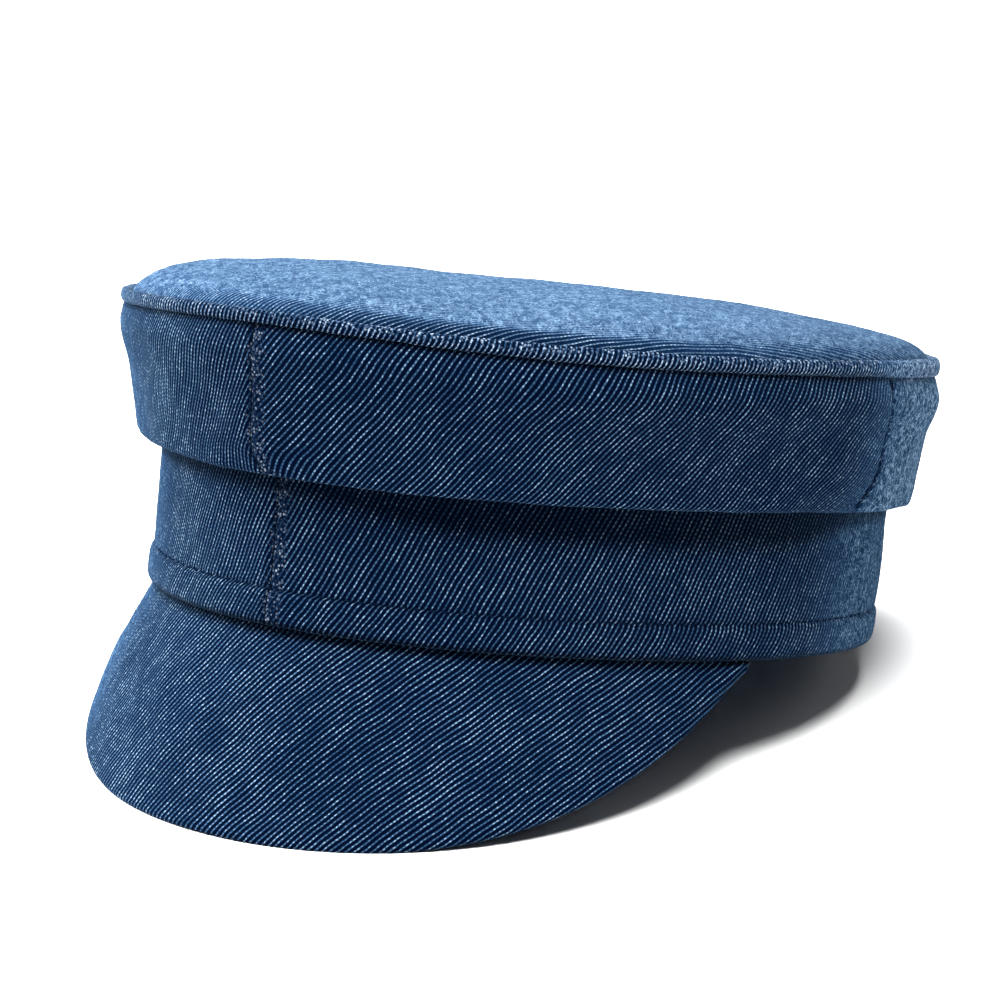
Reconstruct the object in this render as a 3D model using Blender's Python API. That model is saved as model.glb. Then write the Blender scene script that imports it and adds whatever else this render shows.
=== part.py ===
"""A baker boy cap in denim: a tall band, a flat crown that overhangs it, a seam ridge and a short peak.

It rests as it would by itself, on the edge of its peak and the back of its band. Each wall is turned
about a round form and then carried onto the oval of a head. The front looks along -Y.
"""

import math

import bmesh
import bpy
from mathutils import Matrix, Vector

MM = 0.001
CLEARANCE = 0.3 * MM  # between pieces that are sewn to each other

# The opening that a head goes into, an egg with its wide end at the back
OPENING_CIRCUMFERENCE = 570 * MM
OPENING_RATIO = 0.83  # width over length
EGG = 0.108  # how far the half widths at front and back differ from the middle

# The band and its turned-up hem
BAND_WALL = 2.5 * MM
BAND_HEIGHT = 34.7 * MM  # from the lower edge to the fold of the crown
BAND_LEAN = math.radians(2.4)
HEM_HEIGHT = 8.5 * MM
HEM_RAISE = 0.4 * MM
HEM_FLARE = 1.2 * MM  # at the front, pushed out by the peak
HEM_DRAW = 1.0 * MM  # at the back, drawn in
FLARE_ABOVE_HEM = 3.5 * MM
EDGE_ROUND = 0.7 * MM
BACK_DROP = 2.7 * MM  # how much lower the band's edge hangs at the back

# The crown's side, which rolls under at the fold and tucks up behind it
SIDE_WALL = 1.4 * MM
SIDE_HEIGHT = 32.5 * MM
SIDE_SEAM = math.radians(95.7)
CROWN_LEAN = math.radians(7.2)
FOLD_STANDOFF = 2.6 * MM  # from the band's face to the back of the fold
FOLD_HOLLOW = 0.4 * MM  # radius left inside the fold
FOLD_DIP = 0.6 * MM
TUCK_HEIGHT = 6.0 * MM
OVERHANG = 4.5 * MM  # of the top edge past the fold
CROWN_SAG = 1.4 * MM  # of the top edge between seams

# The seam ridge round the top, and the slightly domed top
WELT_HEIGHT = 3.4 * MM
WELT_WALL = 2.8 * MM
WELT_BULGE = 0.3 * MM
TOP_WALL = 1.6 * MM
DOME_HEIGHT = 7.7 * MM
DOME_SQUARENESS = 3.6
DOME_SHOULDER = 0.48  # under 1 rounds the dome's edge

# The peak, a stiff sheet that hangs steeply from the front of the hem
PEAK_WALL = 2.6 * MM
PEAK_LENGTH = 48.0 * MM
PEAK_END = 1.3 * MM  # its length where it runs out beside the temples, less its round edge
PEAK_HALF_ANGLE = math.radians(77.8)
PEAK_SQUARENESS = 2.9
PEAK_TAPER = 1.25
PEAK_SLOPE = math.radians(70.4)
PEAK_SLOPE_EASE = math.radians(5.1)  # how much flatter it hangs at its ends
PEAK_FAN = 1.19
PEAK_BOW = 0.014
PEAK_ROOT_SHARE = 0.7  # how far into the band's wall the peak is sewn

REST_PRESS = 0.3 * MM  # how far the cloth is pressed flat where it rests
STEEPEST_REST = math.radians(40)
REST_PRECISION = 1e-6

# How finely the round forms are cut
FULL_TURN = 2 * math.pi
RING_STEPS = 64
BAND_STEPS = 28
SIDE_STEPS = 15
PEAK_STEPS = 36
FOLD_STEPS = 6
WELT_SIDES = 12
EDGE_STEPS = 4
TOP_RINGS = (0.25, 0.5, 0.7, 0.83, 0.92, 0.97, 1.0)

SIDE_PROFILE = (
    # share of the side's height, share of the way from the fold's face to the top edge's
    (0.12, 0.08),
    (0.22, 0.16),
    (0.32, 0.27),
    (0.42, 0.37),
    (0.55, 0.56),
    (0.68, 0.82),
    (0.80, 0.98),
    (0.90, 1.02),
    (1.00, 1.00),
)

DENIM = (0.035, 0.085, 0.17)
DENIM_LIGHT = (0.07, 0.14, 0.25)
DENIM_DARK = (0.02, 0.05, 0.11)
ROUGHNESS = 0.9
SHARP_ANGLE = math.radians(40)


def half_sizes(circumference, ratio):
    """Half the length and half the width of an oval, by Ramanujan's rule for its circumference."""
    spread = ((1 - ratio) / (1 + ratio)) ** 2
    around = math.pi * (1 + ratio) * (1 + 3 * spread / (10 + math.sqrt(4 - 3 * spread)))
    half_length = circumference / around
    return half_length, half_length * ratio


HALF_LENGTH, HALF_WIDTH = half_sizes(OPENING_CIRCUMFERENCE, OPENING_RATIO)
ROUND = OPENING_CIRCUMFERENCE / FULL_TURN  # radius of the round form that walls are turned on
FLARE_HEIGHT = HEM_HEIGHT + FLARE_ABOVE_HEM
FOLD_RADIUS = SIDE_WALL + FOLD_HOLLOW
FOLD_OUT = FOLD_STANDOFF + 2 * FOLD_RADIUS
TOP_OUT = FOLD_OUT + OVERHANG
PEAK_REACH = PEAK_LENGTH - PEAK_WALL / 2  # as far as its sheet goes before the round edge


def settled(angle, height):
    """How far the soft cap hangs above or below its even height."""
    hem = -BACK_DROP * ((1 - math.cos(angle)) / 2) ** 2
    fold = -FOLD_DIP * math.cos(2 * angle)
    top = -CROWN_SAG * math.sin(2 * angle) ** 2
    if height < BAND_HEIGHT:
        share = height / BAND_HEIGHT
        return hem + (fold - hem) * share
    share = min(1.0, (height - BAND_HEIGHT) / SIDE_HEIGHT)
    return fold + (top - fold) * share


def on_head(angle, out, height, share=1.0):
    """The point at an angle from the front, so far out from the band's face and so high above its edge.

    A share under 1 draws it in toward the cap's middle line, as on the crown's top.
    """
    front, side = math.cos(angle), math.sin(angle)
    flare = (HEM_FLARE * (1 + front) - HEM_DRAW * (1 - front)) / 2
    reach = BAND_WALL + out + flare * max(0.0, 1 - height / FLARE_HEIGHT)
    lean = math.tan(BAND_LEAN) * min(height, BAND_HEIGHT)
    lean += math.tan(CROWN_LEAN) * max(0.0, height - BAND_HEIGHT)
    x = (HALF_WIDTH + reach) * side * (1 - EGG * front) * share
    y = -(HALF_LENGTH + reach) * front * share - lean
    return Vector((x, y, height + settled(angle, height) * share**2))


def on_peak(angle, out, height):
    """The point of the peak that a point of its flat, round form bends down to."""
    sweep = min(1.0, abs(angle) / PEAK_HALF_ANGLE)
    reach = PEAK_END + (PEAK_REACH - PEAK_END) * (1 - sweep**PEAK_SQUARENESS) ** PEAK_TAPER
    slope = PEAK_SLOPE - PEAK_SLOPE_EASE * sweep**2
    outward = Vector((math.sin(angle) * PEAK_FAN, -math.cos(angle), 0)).normalized()
    down = outward * math.cos(slope) + Vector((0, 0, -math.sin(slope)))
    face = outward * math.sin(slope) + Vector((0, 0, math.cos(slope)))
    share = min(1.0, out / PEAK_REACH)
    past_sheet = max(0.0, out - PEAK_REACH)
    bow = PEAK_BOW * PEAK_LENGTH * 4 * share * (1 - share)
    root = on_head(angle, -BAND_WALL * PEAK_ROOT_SHARE, 0) - Vector((0, 0, CLEARANCE))
    return root + down * (reach * share + past_sheet) + face * (bow + height)


def thickened(path, wall):
    """A closed section: a path, and the same path a wall's thickness to its left."""
    inner = []
    for i, point in enumerate(path):
        before, after = path[max(i - 1, 0)], path[min(i + 1, len(path) - 1)]
        along = (Vector(after) - Vector(before)).normalized()
        inner.append((point[0] - along.y * wall, point[1] + along.x * wall))
    return path + inner[::-1]


def arc(centre, radius, start, end, steps):
    """Points along an arc, its ends included."""
    turns = [start + (end - start) * i / steps for i in range(steps + 1)]
    return [(centre[0] + radius * math.cos(a), centre[1] + radius * math.sin(a)) for a in turns]


def turned(section, start, end, steps, place):
    """A wall of one (out, height) section, turned from start to end and put in place."""
    form = bmesh.new()
    spoke = Vector((math.sin(start), -math.cos(start), 0))
    verts = [form.verts.new(spoke * (ROUND + out) + Vector((0, 0, height))) for out, height in section]
    edges = [form.edges.new(pair) for pair in zip(verts, verts[1:] + verts[:1])]
    whole = math.isclose(end - start, FULL_TURN)
    bmesh.ops.spin(
        form, geom=verts + edges, axis=(0, 0, 1), angle=end - start, steps=steps, use_merge=whole
    )
    if not whole:
        bmesh.ops.holes_fill(form, edges=[edge for edge in form.edges if edge.is_boundary], sides=0)
    for vert in form.verts:
        angle = math.atan2(vert.co.x, -vert.co.y)
        vert.co = place(angle, math.hypot(vert.co.x, vert.co.y) - ROUND, vert.co.z)
    return form


def seamed(start, end):
    """The angles between two seams, less the clearance at each."""
    gap = CLEARANCE / 2 / HALF_WIDTH
    return start + gap, end - gap


def band_half(start, end):
    """Half of the band, from its hem to where it ends behind the crown's fold."""
    top = BAND_HEIGHT + TUCK_HEIGHT
    edge = min(EDGE_ROUND, BAND_WALL / 3)
    section = [
        (HEM_RAISE - edge, 0),
        (HEM_RAISE, edge),
        (HEM_RAISE, HEM_HEIGHT - HEM_RAISE),
        (0, HEM_HEIGHT),
        (0, FLARE_HEIGHT),
        (0, BAND_HEIGHT),
        (0, top),
        (-BAND_WALL, top),
        (-BAND_WALL, BAND_HEIGHT),
        (-BAND_WALL, FLARE_HEIGHT),
        (-BAND_WALL, edge),
        (edge - BAND_WALL, 0),
    ]
    return turned(section, *seamed(start, end), BAND_STEPS, on_head)


def side_panel(start, end):
    """A quarter of the crown's side: tucked up behind the fold, round it, and out to the top edge."""
    centre = (FOLD_OUT - FOLD_RADIUS, BAND_HEIGHT + FOLD_RADIUS)
    path = [(CLEARANCE, BAND_HEIGHT + TUCK_HEIGHT)]
    path += arc(centre, FOLD_RADIUS, math.pi, FULL_TURN, FOLD_STEPS)
    for height_share, out_share in SIDE_PROFILE:
        out = FOLD_OUT + (TOP_OUT - FOLD_OUT) * out_share
        path.append((out, BAND_HEIGHT + SIDE_HEIGHT * height_share))
    return turned(thickened(path, SIDE_WALL), *seamed(start, end), SIDE_STEPS, on_head)


def welt():
    """The ridge that the seam makes round the top edge."""
    centre_out = TOP_OUT + WELT_BULGE - WELT_WALL / 2
    centre_height = BAND_HEIGHT + SIDE_HEIGHT + CLEARANCE + WELT_HEIGHT / 2
    section = [
        (centre_out + math.cos(a) * WELT_WALL / 2, centre_height + math.sin(a) * WELT_HEIGHT / 2)
        for a in (FULL_TURN * i / WELT_SIDES for i in range(WELT_SIDES))
    ]
    return turned(section, 0, FULL_TURN, RING_STEPS, on_head)


def crown_top():
    """The top, a sheet that rises from inside the ridge to a flat dome."""
    rim_out = TOP_OUT + WELT_BULGE - WELT_WALL - CLEARANCE
    rim_height = BAND_HEIGHT + SIDE_HEIGHT + CLEARANCE + WELT_HEIGHT / 2

    def dome(share, wall):
        rise = (1 - share**DOME_SQUARENESS) ** DOME_SHOULDER
        return rim_height + (DOME_HEIGHT + WELT_HEIGHT / 2) * rise - wall

    def on_top(angle, out, height):
        return on_head(angle, rim_out, height, (ROUND + out) / ROUND)

    outer = [(ROUND * (share - 1), dome(share, 0)) for share in (0, *TOP_RINGS)]
    inner = [(ROUND * (share - 1), dome(share, TOP_WALL)) for share in (*TOP_RINGS[::-2], 0)]
    form = turned(outer + inner, 0, FULL_TURN, RING_STEPS, on_top)
    bmesh.ops.remove_doubles(form, verts=form.verts, dist=CLEARANCE / 10)
    bmesh.ops.delete(form, geom=[edge for edge in form.edges if edge.is_wire], context="EDGES")
    return form


def peak():
    """The peak, turned flat with a round edge and then bent down from the hem."""
    half = PEAK_WALL / 2
    shares = (0, 0.15, 0.3, 0.5, 0.7, 0.85)
    section = [(PEAK_REACH * share, 0) for share in shares]
    section += arc((PEAK_REACH, -half), half, math.pi / 2, -math.pi / 2, EDGE_STEPS)
    section += [(PEAK_REACH * share, -PEAK_WALL) for share in shares[::-1]]
    return turned(section, -PEAK_HALF_ANGLE, PEAK_HALF_ANGLE, PEAK_STEPS, on_peak)


def rest_pose(hem_forms, peak_form):
    """The turn and shift that put the back of the band and the peak's edge on the ground."""
    hem = [vert.co.copy() for form in hem_forms for vert in form.verts]
    front = [vert.co.copy() for vert in peak_form.verts]
    low, high = 0.0, STEEPEST_REST
    while high - low > REST_PRECISION:
        middle = (low + high) / 2
        turn = Matrix.Rotation(-middle, 3, "X")
        if min((turn @ point).z for point in front) > min((turn @ point).z for point in hem):
            high = middle
        else:
            low = middle
    turn = Matrix.Rotation(-low, 4, "X")
    return turn, min((turn @ point).z for point in front + hem) + REST_PRESS


def stand(forms):
    """Every form turned to its rest, centred over the origin and pressed flat on the ground."""
    turn, ground = rest_pose([forms["band_left"], forms["band_right"]], forms["peak"])
    for form in forms.values():
        form.transform(turn)
    points = [vert.co for form in forms.values() for vert in form.verts]
    middle_x = (min(p.x for p in points) + max(p.x for p in points)) / 2
    middle_y = (min(p.y for p in points) + max(p.y for p in points)) / 2
    shift = Matrix.Translation((-middle_x, -middle_y, -ground))
    for form in forms.values():
        form.transform(shift)
        geometry = form.verts[:] + form.edges[:] + form.faces[:]
        bmesh.ops.bisect_plane(form, geom=geometry, plane_no=(0, 0, -1), clear_outer=True)
        bmesh.ops.holes_fill(form, edges=[edge for edge in form.edges if edge.is_boundary], sides=0)


def add_object(name, form, colour):
    """The form as a named object with a cloth material of its own."""
    bmesh.ops.recalc_face_normals(form, faces=form.faces)
    mesh = bpy.data.meshes.new(name)
    form.to_mesh(mesh)
    form.free()
    mesh.shade_smooth()
    mesh.set_sharp_from_angle(angle=SHARP_ANGLE)
    material = bpy.data.materials.new(name)
    material.use_nodes = True
    surface = material.node_tree.nodes["Principled BSDF"]
    surface.inputs["Base Color"].default_value = (*colour, 1)
    surface.inputs["Roughness"].default_value = ROUGHNESS
    surface.inputs["Metallic"].default_value = 0
    mesh.materials.append(material)
    bpy.context.scene.collection.objects.link(bpy.data.objects.new(name, mesh))


def main():
    for leftover in list(bpy.data.objects):
        bpy.data.objects.remove(leftover)
    half_turn = math.pi
    forms = {
        "crown_top": crown_top(),
        "crown_welt": welt(),
        "side_front_left": side_panel(0, SIDE_SEAM),
        "side_back_left": side_panel(SIDE_SEAM, half_turn),
        "side_back_right": side_panel(half_turn, FULL_TURN - SIDE_SEAM),
        "side_front_right": side_panel(FULL_TURN - SIDE_SEAM, FULL_TURN),
        "band_left": band_half(0, half_turn),
        "band_right": band_half(half_turn, FULL_TURN),
        "peak": peak(),
    }
    colours = {"crown_top": DENIM_LIGHT, "crown_welt": DENIM_LIGHT, "peak": DENIM_DARK}
    stand(forms)
    for name, form in forms.items():
        add_object(name, form, colours.get(name, DENIM))


main()
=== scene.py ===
"""The look of a denim baker boy cap: its sewn cloth, its stitches, a pale floor, soft light and the camera.

Each cloth piece lies where its CAD piece is. Its section is turned about a round form and then carried
onto the oval of a head, so that the rows of the weave can be counted in millimetres of cloth.
"""

import math

import bmesh
import bpy
import numpy as np
from mathutils import Matrix, Vector


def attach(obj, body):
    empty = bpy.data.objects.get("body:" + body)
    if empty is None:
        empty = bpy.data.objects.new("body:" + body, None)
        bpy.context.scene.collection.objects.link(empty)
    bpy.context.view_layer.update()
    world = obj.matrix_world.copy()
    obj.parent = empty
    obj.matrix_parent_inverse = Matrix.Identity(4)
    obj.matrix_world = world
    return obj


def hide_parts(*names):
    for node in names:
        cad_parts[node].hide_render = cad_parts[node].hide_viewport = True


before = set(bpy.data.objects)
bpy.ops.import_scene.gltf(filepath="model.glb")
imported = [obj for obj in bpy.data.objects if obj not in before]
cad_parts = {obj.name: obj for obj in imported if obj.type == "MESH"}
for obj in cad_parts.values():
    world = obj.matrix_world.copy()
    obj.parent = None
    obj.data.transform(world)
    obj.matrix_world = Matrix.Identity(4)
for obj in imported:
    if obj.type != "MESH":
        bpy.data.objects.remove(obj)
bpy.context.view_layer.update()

MM = 0.001
DEGREE = math.pi / 180
FULL_TURN = 2 * math.pi
CLEARANCE = 0.3 * MM

# The opening and the band, as in the CAD
OPENING_CIRCUMFERENCE = 570 * MM
OPENING_RATIO = 0.83
EGG = 0.108
BAND_WALL = 2.5 * MM
BAND_HEIGHT = 34.7 * MM
BAND_LEAN = 2.4 * DEGREE
HEM_HEIGHT = 8.5 * MM
HEM_RAISE = 0.4 * MM
HEM_FLARE = 1.2 * MM
HEM_DRAW = 1.0 * MM
FLARE_HEIGHT = HEM_HEIGHT + 3.5 * MM
BACK_DROP = 2.7 * MM

# The crown, as in the CAD
SIDE_WALL = 1.4 * MM
SIDE_HEIGHT = 32.5 * MM
SIDE_TOP = BAND_HEIGHT + SIDE_HEIGHT
SIDE_SEAM = 95.7 * DEGREE
CROWN_LEAN = 7.2 * DEGREE
FOLD_RADIUS = SIDE_WALL + 0.4 * MM
FOLD_OUT = 2.6 * MM + 2 * FOLD_RADIUS
FOLD_DIP = 0.6 * MM
TUCK_HEIGHT = 6.0 * MM
OVERHANG = 4.5 * MM
TOP_OUT = FOLD_OUT + OVERHANG
CROWN_SAG = 1.4 * MM
WELT_HEIGHT = 3.4 * MM
WELT_WALL = 2.8 * MM
WELT_BULGE = 0.3 * MM
WELT_MIDDLE = SIDE_TOP + CLEARANCE + WELT_HEIGHT / 2
TOP_WALL = 1.6 * MM
DOME_HEIGHT = 7.7 * MM

SIDE_PROFILE = (
    # share of the side's height, share of the way from the fold's face to the top edge's
    (0.00, 0.00),
    (0.12, 0.08),
    (0.22, 0.16),
    (0.32, 0.27),
    (0.42, 0.37),
    (0.55, 0.56),
    (0.68, 0.82),
    (0.80, 0.98),
    (0.90, 1.02),
    (1.00, 1.00),
)

# The peak, as in the CAD
PEAK_WALL = 2.6 * MM
PEAK_LENGTH = 48.0 * MM
PEAK_REACH = PEAK_LENGTH - PEAK_WALL / 2
PEAK_END = 1.3 * MM
PEAK_HALF_ANGLE = 77.8 * DEGREE
PEAK_SQUARENESS = 2.9
PEAK_TAPER = 1.25
PEAK_SLOPE = 70.4 * DEGREE
PEAK_SLOPE_EASE = 5.1 * DEGREE
PEAK_FAN = 1.19
PEAK_BOW = 0.014
PEAK_ROOT_SHARE = 0.7

# How the cap lies on the floor, as in the CAD
REST_TILT = 11.464418 * DEGREE
REST_SHIFT = (0.0, 2.4641 * MM, 22.2484 * MM)

# The cloth: its ribs, the beads of pale yarn along them, its stitches and its mesh
RIB_SPACING = 1.15 * MM
BEAD_PITCH = 1.0 * MM
STITCH_PITCH = 3.2 * MM
SEAM_WIDTH = 0.9 * MM  # of the groove that a seam draws in
SEAM_LINE = 0.3 * MM  # of the line of painted shade at its bottom
MESH_SIZE = 0.85 * MM  # round the cap, on the cloth that shows
SECTORS = 12  # a wall is turned in this many equal parts
SEAM_CROWDING = 0.8  # how much closer the mesh stands at a panel's seams than at its middle
SHARP_EDGE = 60 * DEGREE


def half_sizes(circumference, ratio):
    """Half the length and half the width of an oval, for its width over its length."""
    spread = ((1 - ratio) / (1 + ratio)) ** 2
    around = math.pi * (1 + ratio) * (1 + 3 * spread / (10 + math.sqrt(4 - 3 * spread)))
    return circumference / around, circumference / around * ratio


HALF_LENGTH, HALF_WIDTH = half_sizes(OPENING_CIRCUMFERENCE, OPENING_RATIO)
ROUND = OPENING_CIRCUMFERENCE / FULL_TURN  # radius of the round form


def smooth(value, low, high):
    """0 below low, 1 above high and an even ease between."""
    share = np.clip((value - low) / (high - low), 0, 1)
    return share * share * (3 - 2 * share)


def bell(value, width):
    """1 at zero, falling off evenly on both sides."""
    return np.exp(-((value / width) ** 2))


def settled(angle, height):
    """How far the cloth lies from level: the hem drops at the back, the fold and the top sag between."""
    hem = -BACK_DROP * ((1 - np.cos(angle)) / 2) ** 2
    fold = -FOLD_DIP * np.cos(2 * angle)
    top = -CROWN_SAG * np.sin(2 * angle) ** 2
    low = hem + (fold - hem) * height / BAND_HEIGHT
    high = fold + (top - fold) * np.clip((height - BAND_HEIGHT) / SIDE_HEIGHT, 0, 1)
    return np.where(height < BAND_HEIGHT, low, high)


def on_head(angle, out, height, share=1.0):
    """Points at angles from the front, so far out from the band's face and so high above its edge."""
    front, side = np.cos(angle), np.sin(angle)
    flare = (HEM_FLARE * (1 + front) - HEM_DRAW * (1 - front)) / 2
    reach = BAND_WALL + out + flare * np.maximum(0, 1 - height / FLARE_HEIGHT)
    lean = math.tan(BAND_LEAN) * np.minimum(height, BAND_HEIGHT)
    lean = lean + math.tan(CROWN_LEAN) * np.maximum(0, height - BAND_HEIGHT)
    x = (HALF_WIDTH + reach) * side * (1 - EGG * front) * share
    y = -(HALF_LENGTH + reach) * front * share - lean
    z = height + settled(angle, height) * share**2
    return np.stack([x, y, z], -1)


def peak_reach(angle):
    """How far the peak's upper face reaches from its root: most at the front, little at its ends."""
    sweep = np.minimum(1, np.abs(angle) / PEAK_HALF_ANGLE)
    return PEAK_END + (PEAK_REACH - PEAK_END) * (1 - sweep**PEAK_SQUARENESS) ** PEAK_TAPER


def on_peak(angle, out, height):
    """Points of the peak, so far down from its root and so high off its upper face."""
    sweep = np.minimum(1, np.abs(angle) / PEAK_HALF_ANGLE)
    slope = PEAK_SLOPE - PEAK_SLOPE_EASE * sweep**2
    outward = unit(np.stack([np.sin(angle) * PEAK_FAN, -np.cos(angle), 0 * angle], -1))
    up = np.array([0, 0, 1.0])
    down = outward * np.cos(slope)[:, None] - up * np.sin(slope)[:, None]
    face = outward * np.sin(slope)[:, None] + up * np.cos(slope)[:, None]
    share = np.clip(out / PEAK_REACH, 0, 1)
    past_sheet = np.maximum(0, out - PEAK_REACH) + np.minimum(0, out)
    bow = PEAK_BOW * PEAK_LENGTH * 4 * share * (1 - share)
    root = on_head(angle, -BAND_WALL * PEAK_ROOT_SHARE, 0 * angle) - up * CLEARANCE
    return root + down * (peak_reach(angle) * share + past_sheet)[:, None] + face * (bow + height)[:, None]


def at_rest(points):
    """The points turned and let down to where the cap rests, with what meets the floor pressed flat."""
    turn = np.array(Matrix.Rotation(-REST_TILT, 3, "X"))
    placed = points @ turn.T + np.array(REST_SHIFT)
    placed[:, 2] = np.maximum(placed[:, 2], 0)
    return placed


def unit(vectors):
    """The same directions, each one long."""
    return vectors / np.linalg.norm(vectors, axis=-1, keepdims=True)


def lengths(points):
    """How far each point is along a line of them."""
    return np.concatenate([[0], np.cumsum(np.linalg.norm(np.diff(points, axis=0), axis=1))])


class Tape:
    """Lengths of cloth round the head at one height, from the front seam."""

    MARKS = 1441  # one at each quarter of a degree

    def __init__(self, out, height):
        self.angles = np.linspace(-math.pi, math.pi, self.MARKS)
        line = on_head(self.angles, out + 0 * self.angles, height + 0 * self.angles)
        self.marks = lengths(line)
        self.marks -= np.interp(0, self.angles, self.marks)
        self.whole = self.marks[-1] - self.marks[0]

    def length(self, angle):
        return np.interp(angle, self.angles, self.marks)

    def angle(self, length):
        return np.interp(length, self.marks, self.angles)


BAND_TAPE = Tape(0, BAND_HEIGHT / 2)
SIDE_TAPE = Tape(FOLD_OUT + OVERHANG / 2, BAND_HEIGHT + SIDE_HEIGHT / 2)
WELT_TAPE = Tape(TOP_OUT, SIDE_TOP)


def resampled(path, size):
    """The same line with points about a size apart."""
    path = np.array(path)
    marks = lengths(path)
    steps = max(2, round(marks[-1] / size))
    at = np.linspace(0, marks[-1], steps + 1)
    return np.stack([np.interp(at, marks, path[:, i]) for i in range(2)], -1)


def eased(path, rounds):
    """The line with its corners rubbed round, and its ends kept."""
    path = path.copy()
    for _ in range(rounds):
        path[1:-1] = (path[:-2] + 2 * path[1:-1] + path[2:]) / 4
    return path


def arc(centre, radius, start, end, steps):
    turns = np.linspace(start, end, steps + 1)
    return [(centre[0] + radius * math.cos(a), centre[1] + radius * math.sin(a)) for a in turns]


def left_of(path, wall):
    """The path moved a wall's thickness to its left."""
    along = unit(np.gradient(path, axis=0))
    return np.stack([path[:, 0] - along[:, 1] * wall, path[:, 1] + along[:, 0] * wall], -1)


def numbers(items, key, width=1):
    """A value of every item, as an array with a row for each item where the value is wide."""
    values = np.zeros(len(items) * width, np.float32)
    items.foreach_get(key, values)
    return values.reshape(-1, width).astype(float) if width > 1 else values.astype(float)


class Wall:
    """A closed section turned about the round form, or one that starts and ends on its axis.

    It keeps, for each vertex, its turn about the axis, its distance out and height, how far along the
    cloth of the section it is, and whether it is on the cloth's reverse. A panel's turn goes from 0 at
    its start to 1 at its end, and between() spreads it over the angles of the panel.
    """

    PANEL_TURN = 1.0

    def __init__(self, name, outer, inner, steps, run_start=0.0, whole=False):
        section = np.concatenate([outer, inner])
        runs = run_start + lengths(section)
        form = bmesh.new()
        run_layer = form.verts.layers.float.new("run")
        side_layer = form.verts.layers.float.new("reverse")
        verts = []
        for i, (out, height) in enumerate(section):
            vert = form.verts.new((0, -(ROUND + out), height))
            vert[run_layer] = runs[i]
            vert[side_layer] = float(i >= len(outer))
            verts.append(vert)
        follow = verts[1:] + verts[:1]
        starts_on_axis = section[0, 0] + ROUND < CLEARANCE
        if starts_on_axis:
            follow.pop()
        edges = [form.edges.new(pair) for pair in zip(verts, follow)]
        self.turn_sector(form, verts + edges, steps, FULL_TURN if whole else self.PANEL_TURN)
        if not whole:
            rims = [edge for edge in form.edges if edge.is_boundary]
            caps = bmesh.ops.holes_fill(form, edges=rims, sides=0)["faces"]
            bmesh.ops.triangulate(form, faces=caps)
        bmesh.ops.recalc_face_normals(form, faces=form.faces)
        self.mesh = bpy.data.meshes.new(name)
        form.to_mesh(self.mesh)
        form.free()
        place = numbers(self.mesh.vertices, "co", 3)
        self.turn = np.arctan2(place[:, 0], -place[:, 1])
        self.out = np.hypot(place[:, 0], place[:, 1]) - ROUND
        self.height = place[:, 2]
        self.run = numbers(self.mesh.attributes["run"].data, "value")
        self.reverse = numbers(self.mesh.attributes["reverse"].data, "value")

    @staticmethod
    def turn_sector(form, section, steps, sweep):
        """The section turned through one sector, and the sector repeated through the whole sweep."""
        axis, first = (0, 0, 1), sweep / SECTORS
        bmesh.ops.spin(form, geom=section, axis=axis, angle=first, steps=max(2, round(steps / SECTORS)))
        sector = form.verts[:] + form.edges[:] + form.faces[:]
        bmesh.ops.spin(
            form, geom=sector, axis=axis, angle=sweep - first, steps=SECTORS - 1, use_duplicate=True
        )
        bmesh.ops.remove_doubles(form, verts=form.verts, dist=CLEARANCE / 100)

    def between(self, start, end, tape):
        """Each vertex's angle on a panel, its length of cloth from the front, and how far off a seam is."""
        gap = CLEARANCE / 2 / HALF_WIDTH
        share = self.turn - SEAM_CROWDING * np.sin(FULL_TURN * self.turn) / FULL_TURN
        angle = start + gap + (end - start - 2 * gap) * share
        length = tape.length(angle)
        seam = np.minimum(np.abs(length - tape.length(start)), np.abs(tape.length(end) - length))
        return angle, length, seam


def twill(length, run, rib_angle, spacing=RIB_SPACING):
    """Cloth in millimetres as ribs across and beads along, for ribs at an angle to the cloth's length."""
    across = (length * math.sin(rib_angle) - run * math.cos(rib_angle)) / spacing
    along = (length * math.cos(rib_angle) + run * math.sin(rib_angle)) / BEAD_PITCH
    return across, along


WAVES = (
    # height of the wave, length along the cloth, length up the cloth, start: all but the last in mm
    (0.45, 61.0, 83.0, 0.6),
    (0.32, 37.0, -41.0, 2.1),
    (0.22, 22.0, 27.0, 4.4),
    (0.14, 13.0, -19.0, 1.3),
)


def drift(length, run, size=1.0):
    """How far soft cloth has slipped from its straight grain, or waves off its smooth form."""
    moved = 0 * length
    for height, across, up, start in WAVES:
        phase = FULL_TURN * (length / (across * MM) + run / (up * MM)) + start
        moved = moved + size * height * MM * np.sin(phase)
    return moved


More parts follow.
